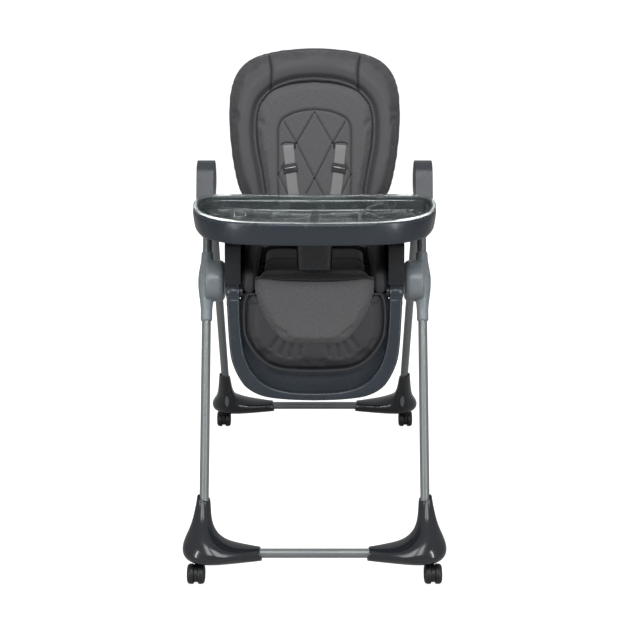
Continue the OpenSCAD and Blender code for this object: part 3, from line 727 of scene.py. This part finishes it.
# The front rises by 12 mm, and its edge is cut away below to clear the raised leg pad
rise = np.clip((-0.05 - seat_rows[:, 1]) / 0.07, 0.0, 1.0)
undercut = 0.013 * np.clip((-0.112 - seat_rows[:, 1]) / 0.02, 0.0, 1.0)
seat_rows[:, 2] = np.maximum(seat_rows[:, 2], undercut)
seat_rows[:, 2] += 0.012 * rise * rise * (3 - 2 * rise) * np.clip((seat_rows[:, 2] - 0.004) / 0.01, 0.0, 1.0)
set_coordinates(seat_pad.data, seat_rows)
sewn(seat_pad, [(-118, 30), (118, 30)], 3.0, 4.0, 18)
seat_edge = laid_on(seat_pad, curved([(-129, -140), (-60, -143), (0, -143.5), (60, -143), (129, -140)],
    12), 0.6)
piping("seat_front_piping", seat_edge, 2.0, seat_place, "seat", binding)
settled(seat_pad, seat_place, "seat", ["seat_cushion"])

# The bolsters take the darker coated fabric, which paints the tray's shade onto them.
bolster_rings = []
for y, z, half_x, half_z in curved([(-166, 596, 5, 8), (-160, 604, 14, 18), (-140, 614, 17, 28),
        (-60, 622, 17.5, 34), (40, 634, 18, 42), (100, 646, 17, 46), (118, 650, 10, 30)], 3):
    bolster_rings.append(Matrix(((half_x, 0, 0, 145), (0, 0, 1, y), (0, half_z, 0, z), (0, 0, 0, 1))))
for side, word in sides:
    bolster = piece("seat_bolster_" + word, swept(bolster_rings, 20, 2.6),
        Matrix.Diagonal((side, 1, 1, 1)) @ millimetres, "seat", [leg_leather], sharp=80)
    modify(bolster, "SUBSURF", levels=1, render_levels=1)

# ---- Backrest ----
# A dished slate shell behind; in front a tall pad of dark coated fabric with a headpiece panel
# between two seams, and a melange insert piped round and quilted in diamonds over the spine.

back_place = Matrix.Translation((0, 0.135, 0.632)) @ Matrix.Rotation(math.radians(90 - 17.5), 4, "X")
back_half = [(0, 455), (72, 451), (140, 435), (179, 407), (200, 361), (206, 297), (202, 233), (194, 173),
    (181, 118), (164, 90), (150, 60), (141, 36), (139, 0), (132, -20), (0, -24)]
back_outline = mirrored(back_half, 3)


def shrunk(outline, d):
    """An outline moved towards its middle by d."""
    middle = sum(outline, Vector((0, 0))) / len(outline)
    return [p - (p - middle).normalized() * d for p in outline]


def stepped(outline, steps):
    """A closed skin from a first face up through rings: each step is how far the ring is shrunk
    from the outline, and its height. The last ring is filled too."""
    bm = bmesh.new()
    first = [bm.verts.new((p.x, p.y, steps[0][1])) for p in shrunk(outline, steps[0][0])]
    face = bm.faces.new(first)
    middle = sum(outline, Vector((0, 0))) / len(outline)
    edges = list(face.edges)
    for (before, _), (after, level) in zip(steps, steps[1:]):
        grown = bmesh.ops.extrude_edge_only(bm, edges=edges)["geom"]
        edges = [g for g in grown if isinstance(g, bmesh.types.BMEdge) and g.is_boundary]
        for v in {v for e in edges for v in e.verts}:
            inwards = (Vector((v.co.x, v.co.y)) - middle).normalized() * (after - before)
            v.co = (v.co.x - inwards.x, v.co.y - inwards.y, level)
    bmesh.ops.holes_fill(bm, edges=[e for e in bm.edges if e.is_boundary], sides=0)
    bmesh.ops.recalc_face_normals(bm, faces=bm.faces)
    return bm


def rectangle(x0, y0, x1, y1):
    """Outline of a rectangle between two opposite corners."""
    return [Vector((x0, y0)), Vector((x1, y0)), Vector((x1, y1)), Vector((x0, y1))]


def moved(bm, matrix):
    """Moves a bmesh, which the matrix may also mirror."""
    bmesh.ops.transform(bm, matrix=matrix, verts=bm.verts)
    bmesh.ops.recalc_face_normals(bm, faces=bm.faces)
    return bm


shell_steps = [(46, -31), (42, -33.5), (30, -34), (20, -32.5), (12, -29), (6.5, -22), (4, -14), (3, -4),
    (4, -2.4), (8, -2.2), (9, -6)]
shell_bm = stepped(back_outline, shell_steps)
for side in (1, -1):
    arm = slab([Vector((16 * math.cos(a), 16 * math.sin(a))) for a in
        (math.radians(10 * k) for k in range(36))], 142, 161, 2)
    joined(shell_bm, moved(arm, Matrix.Diagonal((side, 1, 1, 1)) @ across_axis))
for level in (120, 150):
    joined(shell_bm, slab(rectangle(-70, level - 4, 70, level + 4), -36, -30, 1.8))
shell_piece = piece("back_shell_moulding", shell_bm, back_place @ millimetres, "backrest", [shell_slate],
    ["back_shell"], 50)
modify(shell_piece, "BEVEL", width=0.0012, segments=2, limit_method="ANGLE", angle_limit=math.radians(40))
eased("recline_handle", [black_nylon], 2.0, segments=4)

insert_half = [(0, 384), (42, 381), (75, 373), (102, 361), (124, 342), (140, 318), (147, 286), (148, 255),
    (144, 208), (134, 155), (127, 112), (121, 70), (112, 40), (96, 28), (0, 24)]
insert_outline = mirrored(insert_half, 3)
back_pad = stuffed("back_bolster_pad", slab(shrunk(back_outline, -8), -1.2, 16, 7), [dark_leather], 12, 0)
rows = coordinates(back_pad.data)
flat_rows = rows[:, :2] * 1000
rim_away = distance_to(insert_outline + insert_outline[:1], flat_rows)
edge_away = distance_to(back_outline + back_outline[:1], flat_rows)
front_side = np.clip((rows[:, 2] * 1000 - 6) / 4.0, 0.0, 1.0)
# The insert lies in a hollow, and a soft crown runs round it
hollow = inside(shrunk(insert_outline, 4), flat_rows) * np.clip((rim_away - 4) / 6, 0, 1)
rows[:, 2] = np.where(front_side > 0, rows[:, 2] * (1 - hollow) + np.minimum(rows[:, 2], 0.009) * hollow,
    rows[:, 2])
crown = (1 - hollow) * np.exp(-((rim_away - 30) / 22) ** 2) * np.clip(edge_away / 14, 0, 1)
rows[:, 2] += 0.006 * crown * front_side
set_coordinates(back_pad.data, rows)
sewn(back_pad, insert_outline + insert_outline[:1], 9.0, 6.0, 6)
for side in (1, -1):
    head_seam = curved([(side * 110, 438), (side * 107, 422), (side * 104, 400), (side * 104, 372),
        (side * 106, 352)], 6)
    sewn(back_pad, head_seam, 4.2, 3.4, 2)
    piping(f"headpiece_seam_{'left' if side > 0 else 'right'}", laid_on(back_pad, head_seam, -1.6), 1.1,
        back_place, "backrest", binding)

insert_pad = stuffed("back_insert_pad", slab(shrunk(insert_outline, 3), 5, 20, 6), [melange], 8, 6,
    voxel=4.0)
panel_half = [(0, 306), (34, 302.5), (62, 293), (79, 281), (87, 263), (88.5, 240), (88, 140), (87, 90),
    (82, 52), (0, 46)]
panel = mirrored(panel_half, 3)
sewn(insert_pad, panel + panel[:1], 5.0, 3.2, 8)
lattice = [
    [(0, 300), (44, 226)], [(0, 300), (-44, 226)], [(44, 226), (0, 140)], [(-44, 226), (0, 140)],
    [(74, 277), (44, 226)], [(-74, 277), (-44, 226)], [(0, 140), (44, 60)], [(0, 140), (-44, 60)],
    [(88, 150), (44, 60)], [(-88, 150), (-44, 60)], [(44, 226), (88, 150)], [(-44, 226), (-88, 150)]]
for line in lattice:
    sewn(insert_pad, line, 3.4, 2.4, 8)
rim = shrunk(insert_outline, 0.5)
lowest = min(range(len(rim)), key=lambda k: rim[k].y)
piping("insert_piping", [Vector((p.x, p.y, 18.5)) for p in rim[lowest:] + rim[:lowest] if p.y > 70], 2.0,
    back_place, "backrest", binding)

# ---- Harness ----
# Five-point harness of grey polyester webbing, 26 mm wide: each shoulder strap leaves a bound
# slot in the insert, passes a black adjuster and meets the lap straps at a moulded buckle.


def webbing(name, code):
    """Polyester webbing: ribs along the strap, 1.1 mm in the real one and drawn at 2.2 mm, crossed
    by a fine pick, with painted shade in the low parts between the ribs and picks."""
    made, tree, shader, place = material(name)
    ribs = add(tree, "TexWave", {"bands_direction": "X", "Scale": 143.0, "Distortion": 0.3},
        {"Vector": place})
    split = add(tree, "SeparateXYZ", {}, {"Vector": place})
    along = add(tree, "Math", {"operation": "SUBTRACT"}, {0: split.outputs["Z"], 1: split.outputs["Y"]})
    pick_at = add(tree, "CombineXYZ", {}, {"X": along.outputs[0]})
    picks = add(tree, "TexWave", {"bands_direction": "X", "Scale": 240.0},
        {"Vector": pick_at.outputs["Vector"]})
    height = add(tree, "Math", {"operation": "MULTIPLY_ADD", 1: 0.4},
        {0: picks.outputs["Fac"], 2: ribs.outputs["Fac"]})
    # Painted shade and highlight: the colour follows the weave's height, darker in the low parts and paler
    # on the raised ribs.
    tone = add(tree, "Mix", {"data_type": "RGBA", 6: shade(code, 0.7), 7: shade(code, 1.12)},
        {0: height.outputs[0]})
    finished(tree, shader, tone.outputs[2], picks.outputs["Fac"], 0.62, 0.75, height.outputs[0], 0.5, 0.2,
        Sheen_Weight=0.3, Specular_IOR_Level=0.3)
    return made


grey_webbing = webbing("grey_polyester_webbing", "#6f6f70")


def ribbon(path, normals, width, thickness):
    """A flat strap along a path, with its face towards the given normals; millimetres."""
    rings = []
    for i, p in enumerate(path):
        ahead = (path[min(i + 1, len(path) - 1)] - path[max(i - 1, 0)]).normalized()
        across = ahead.cross(normals[i]).normalized()
        out = across.cross(ahead).normalized()
        rings.append(Matrix((
            (across.x * width / 2, out.x * thickness / 2, ahead.x, p.x),
            (across.y * width / 2, out.y * thickness / 2, ahead.y, p.y),
            (across.z * width / 2, out.z * thickness / 2, ahead.z, p.z), (0, 0, 0, 1))))
    return swept(rings, 16, 5)


face_out = Vector((0, 0, 1))
for side, word in sides:
    worn = [Vector((side * x, y)) for x, y in ((63, 214), (60.5, 190), (58.5, 165), (55.5, 138), (52, 110))]
    worn = laid_on(insert_pad, worn, 1.6)
    route = [Vector((side * 64, 231, 8)), Vector((side * 64, 227, 22))] + worn
    route += [Vector((side * 46, 84, 31)), Vector((side * 28, 50, 46)), Vector((side * 15, 22, 58))]
    route = curved(route, 5)
    strap = piece("shoulder_strap_" + word, ribbon(route, [face_out] * len(route), 25.5, 1.7),
        back_place @ millimetres, None, [grey_webbing], ["shoulder_straps"], 70)
    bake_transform(strap)
    slot_path = laid_on(insert_pad, curved([(side * 81, 222), (side * 72, 227.5), (side * 56, 227.5),
        (side * 48, 224), (side * 46.5, 212)], 5), -0.6)
    piping("strap_slot_" + word, slot_path, 1.9, back_place, "backrest", binding)
    clip_place = back_place @ millimetres @ Matrix.Translation(worn[2]) @ Matrix.Rotation(
        math.radians(side * -10), 4, "Z")
    clip_outline = mirrored([(0, 11), (14, 11), (17, 9), (17.4, 0), (17, -9), (14, -11), (0, -11)], 2)
    clip = slab(clip_outline, 0.4, 3.4, 1.0, 3)
    adjuster = piece("strap_adjuster_" + word, clip, clip_place, "backrest", [black_nylon],
        ["strap_adjusters"], 50)
    bar_bm = bmesh.new()
    bmesh.ops.create_cone(bar_bm, cap_ends=True, segments=20, radius1=1.9, radius2=1.9, depth=27,
        matrix=Matrix.Translation((0, 0.5, 3.4)) @ across_axis)
    bmesh.ops.bevel(bar_bm, geom=[e for e in bar_bm.edges if e.calc_face_angle(0) > 1], offset=0.6,
        segments=2, profile=0.5, affect="EDGES", material=-1)
    piece("adjuster_bar_" + word, bar_bm, clip_place, "backrest", [zinc_steel])

buckle_place = (Matrix.Translation((0, 0.076, 0.652)) @ Matrix.Rotation(math.radians(70), 4,
    "X")) @ millimetres
buckle_bm = slab(mirrored([(0, 23), (16, 22.5), (24, 17), (26, 0), (24, -16), (15, -22.5), (0, -23)], 4),
    -6, 6, 2.6)
joined(buckle_bm, slab(mirrored([(0, 11), (8, 10), (11, 0), (8, -10), (0, -11)], 4), 5.2, 7.4, 0.9))
piece("harness_buckle_moulding", buckle_bm, buckle_place, "seat", [black_nylon], ["harness_buckle"],
    50)
for side, word in sides:
    hip = curved([Vector((side * x, y, z)) for x, y,
        z in ((134, 92, 612), (126, 88, 628), (96, 82, 640), (60, 78, 648), (22, 76, 652))], 6)
    piece("lap_strap_" + word, ribbon(hip, [Vector((0, -0.75, 0.66))] * len(hip), 25.5, 1.7), millimetres,
        "seat", [grey_webbing], ["lap_straps"], 70)
crotch = curved([Vector((0, y, z)) for y, z in ((24, 606), (30, 622), (46, 630), (62, 638), (70, 645))], 6)
piece("crotch_strap", ribbon(crotch, [Vector((0, -0.4, 0.9))] * len(crotch), 25.5, 1.7), millimetres, "seat",
    [grey_webbing], sharp=70)
gusset_path = curved([Vector((0, y, z)) for y, z in ((137, 690), (132, 660), (124, 630), (116, 604),
    (110, 582), (107, 562))], 5)
gusset = piece("seat_back_gusset", ribbon(gusset_path, [Vector((0, -0.8, 0.6))] * len(gusset_path), 292, 7),
    millimetres, None, [dark_leather], sharp=80)
modify(gusset, "SUBSURF", levels=1, render_levels=1)
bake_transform(gusset)
settled(insert_pad, back_place, "backrest", ["back_insert"])
settled(back_pad, back_place, "backrest", ["back_cushion"])

# ---- Leg rest ----
# A U-shaped tub of satin slate ABS hangs from two toothed knuckles. In it lies a pad of coated
# fabric with a piped rim, under a melange flap that comes down from the seat's front edge.

leg_place = Matrix.Translation((0, -0.161, 0.59)) @ Matrix.Rotation(math.radians(90 - 17), 4, "X")
outer_half = [(194, -16), (192, -60), (188, -122), (181, -160), (165, -194), (146, -216), (112, -232),
    (60, -239), (0, -241)]
inner_half = [(165, -16), (164, -66), (158, -124), (147, -160), (132, -184), (114, -201), (88, -214),
    (50, -222), (0, -224)]


def u_frame(outer, inner):
    """Outline of a U between an outer and an inner half, both from the top right down."""
    out, back = curved(outer, 4), curved(inner, 4)
    left = [Vector((-p.x, p.y)) for p in out[-2::-1]]
    return out + left + [Vector((-p.x, p.y)) for p in back] + back[-2::-1]


rim_bm = slab(u_frame(outer_half, inner_half)[::-1], -22, 14, 4.5, 5)
tub_floor = curved(inner_half, 4)
tub_floor = [Vector((163, -3))] + [Vector((p.x + 1.5, p.y - 1.5)) for p in tub_floor if p.y < -17]
tub_floor = tub_floor + [Vector((-p.x, p.y)) for p in tub_floor[-2::-1]]
joined(rim_bm, slab(tub_floor[::-1], -21.5, -16.5, 1.2, 2))
for level in (-70, -110, -150):
    joined(rim_bm, slab(rectangle(-104, level - 3, 104, level + 3), -24, -20, 1.4, 3))
knuckle_profile = [(0, 165), (14.4, 165), (16, 166.6), (16, 193.6), (14.4, 195.2), (9, 195.2), (8.4, 194),
    (0, 194)]
tooth_pitch = 4.2
for side in (1, -1):
    flip = Matrix.Diagonal((side, 1, 1, 1))
    joined(rim_bm, moved(turned(knuckle_profile, across_axis, 48), flip))
    for k in range(6):
        tooth = slab(rectangle(168 + tooth_pitch * k, 9, 170.4 + tooth_pitch * k, 18), -6, 15, 0.7, 2)
        joined(rim_bm, moved(tooth, flip))
    joined(rim_bm, slab(rectangle(side * 166, 2, side * 194, -30), -13, 13, 3))
piece("leg_rest_tub", rim_bm, leg_place @ millimetres, "leg_rest", [shell_slate], ["leg_shell"],
    50)

leg_half = [(0, -5), (132, -5), (150, -9), (156.5, -32), (157, -72), (152, -104), (131, -140), (106, -161),
    (78, -172), (40, -176.5), (0, -177.5)]
leg_outline = mirrored(leg_half, 3)
leg_pad = stuffed("leg_rest_pad", slab(shrunk(leg_outline, 1), -14, 4, 7), [leg_leather], 9, -12)
for side in (1, -1):
    for gather in ([(50, -120), (55, -142)], [(66, -114), (76, -136)], [(82, -104), (97, -124)],
            [(30, -124), (32, -140)]):
        sewn(leg_pad, [(side * x, y) for x, y in gather], 3.6, 4.4, 0)
sewn(leg_pad, [(-160, -22), (-128, -24)], 2.4, 2.6, 0)
sewn(leg_pad, [(160, -22), (128, -24)], 2.4, 2.6, 0)
leg_rim = [Vector((p.x, p.y, 3.5)) for p in shrunk(leg_outline, 1.0)]
piping("leg_pad_piping", leg_rim, 2.8, leg_place, "leg_rest", leg_leather, closed=True)
settled(leg_pad, leg_place, "leg_rest", ["leg_pad"])

flap_half = [(0, 34), (120, 34), (132, 33), (135, 25), (134, 8), (128, -18), (115, -52), (93, -86),
    (67, -111), (34, -117), (0, -117.5)]
flap = stuffed("calf_flap_pad", slab(mirrored(flap_half, 3), 12, 21, 4), [melange], 7, 13)
flap.data.transform(leg_place)
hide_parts("calf_flap")
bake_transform(flap)

# ---- Tray ----
# A deep slate ABS tray with a rolled rim runs on brackets along the armrests; a squeeze catch
# under each end frees it, and a hollow post below it stands between the child's legs.

tray_half = [(0, -46), (120, -46), (215, -47), (246, -55), (262, -84), (265, -126), (260, -168), (240, -222),
    (196, -266), (120, -288), (0, -295)]
tray_outline = mirrored(tray_half, 5)
cup_middle = (-165, -112)


def cup_floor(bm, level, radius, depth):
    """Fills the open inner ring of a bmesh with a floor, and sinks a round cup recess into it."""
    rim = [e for e in bm.edges if e.is_boundary and abs(e.verts[0].co.z - level) < 1e-4
        and abs(e.verts[1].co.z - level) < 1e-4]
    ring = bmesh.ops.create_circle(bm, segments=64, radius=radius,
        matrix=Matrix.Translation((*cup_middle, level)))["verts"]
    loop = list({e for v in ring for e in v.link_edges})
    bmesh.ops.triangle_fill(bm, use_beauty=True, use_dissolve=False, edges=rim + loop, normal=(0, 0, 1))
    for drop, scale in ((-1.2, 0.975), (1.2 - depth, 0.97), (-1.2, 0.95)):
        grown = bmesh.ops.extrude_edge_only(bm, edges=loop)["geom"]
        verts = [g for g in grown if isinstance(g, bmesh.types.BMVert)]
        loop = [g for g in grown if isinstance(g, bmesh.types.BMEdge) and all(v in verts for v in g.verts)]
        bmesh.ops.scale(bm, verts=verts, vec=(scale, scale, 1),
            space=Matrix.Translation((-cup_middle[0], -cup_middle[1], 0)))
        bmesh.ops.translate(bm, verts=verts, vec=(0, 0, drop))
    bmesh.ops.holes_fill(bm, edges=loop, sides=0)
    bmesh.ops.recalc_face_normals(bm, faces=bm.faces)


def open_ended(outline, steps, first=True):
    """A stepped skin without its last face; first says whether it keeps its first one."""
    bm = stepped(outline, steps)
    levels = [steps[-1][1]] if first else [steps[-1][1], steps[0][1]]
    ends = [f for f in bm.faces if len(f.verts) > 8
        and any(all(abs(v.co.z - level) < 1e-4 for v in f.verts) for level in levels)]
    bmesh.ops.delete(bm, geom=ends, context="FACES_ONLY")
    return bm


tray_steps = [(26, 735), (14, 734.5), (11, 731.3), (8, 730.6), (5.4, 731.4), (3.8, 734), (2.6, 740),
    (1, 752), (0, 764), (0.2, 772), (1.0, 776), (2.6, 778), (5.4, 778.8), (8.4, 778), (9.6, 775.5),
    (10, 770), (10.4, 752), (11, 746.5), (12.6, 744.4), (15, 744)]
tray_bm = open_ended(tray_outline, tray_steps)
cup_floor(tray_bm, 744, 41.5, 9)
for side in (1, -1):
    for low, high, x0, x1 in ((711, 733, 199.4, 204), (711, 716.4, 190, 203.6)):
        joined(tray_bm, slab(rectangle(side * x0, -150, side * x1, -80), low, high, 1.2, 2))
tray_piece = piece("tray_moulding", tray_bm, millimetres, "tray_body", [shell_slate], ["tray"],
    50)
modify(tray_piece, "WEIGHTED_NORMAL", weight=100, keep_sharp=True)
# The crotch post takes the darker slate copy, painted with the tray's shadow.
eased("crotch_post", [shaded_frame_slate], 2.5, segments=4)
for word in ("left", "right"):
    eased("tray_catch_" + word, [black_nylon], 2.2, segments=4)

# ---- Tray liner ----
# A lift-out liner vacuum-formed from 1.8 mm clear styrene: a rolled lip over the tray's rim, a
# stepped wall, a ring for a cup, and an arched rib that sets off the right-hand end.


def clear_styrene(name, tint):
    """Clear styrene: a faint smoky tint, hairline wipe marks and slow ripples from forming."""
    made, tree, shader, place = material(name)
    ripple = add(tree, "TexNoise", {"Scale": 16.0, "Detail": 2.0}, {"Vector": place})
    wipe_at = add(tree, "Mapping", {"Scale": (30.0, 900.0, 30.0), "Rotation": (0.0, 0.0, 0.35)},
        {"Vector": place})
    wipe = add(tree, "TexNoise", {"Scale": 1.0, "Detail": 4.0}, {"Vector": wipe_at.outputs["Vector"]})
    tone = add(tree, "Mix", {"data_type": "RGBA", 6: shade(tint, 0.94), 7: linear(tint)},
        {0: ripple.outputs["Fac"]})
    finished(tree, shader, tone.outputs[2], wipe.outputs["Fac"], 0.03, 0.06, ripple.outputs["Fac"], 0.1,
        0.02, Transmission_Weight=0.97, IOR=1.36)
    return made


clear_plastic = clear_styrene("clear_styrene", "#d3d9d8")
liner_steps = [(0.9, 779.6), (0.3, 780.2), (0.4, 781.4), (1.6, 782.4), (4, 783), (8.6, 782.8), (11, 781.8),
    (12.2, 779.6), (12.8, 773), (13.4, 770.6), (15.2, 769.6), (16.6, 768), (17.2, 760), (18, 752),
    (19.4, 748.8), (22, 747.3), (28, 746.7)]
liner_bm = open_ended(tray_outline, liner_steps, first=False)
cup_floor(liner_bm, 746.7, 39, 8)
liner_piece = piece("tray_liner_forming", liner_bm, millimetres, "liner", [clear_plastic], ["tray_liner"],
    60)
modify(liner_piece, "SOLIDIFY", thickness=0.0018, offset=-1.0)
modify(liner_piece, "WEIGHTED_NORMAL", weight=100, keep_sharp=True)
cup_ring = [Vector((cup_middle[0] + 43 * math.cos(a), cup_middle[1] + 41 * math.sin(a),
    748.5 + 5 * max(0.0, math.sin(a))))
    for a in (math.radians(7.5 * k) for k in range(48))]
piping("liner_cup_ring", cup_ring, 2.6, Matrix.Identity(4), "liner", clear_plastic,
    closed=True)
arch = curved([Vector(p) for p in ((95, -196, 746), (94, -170, 751), (98, -138, 755), (110, -106, 760),
    (130, -82, 766), (152, -70, 769))], 6)
piping("liner_rib", arch, 3.0, Matrix.Identity(4), "liner", clear_plastic)

low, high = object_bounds()
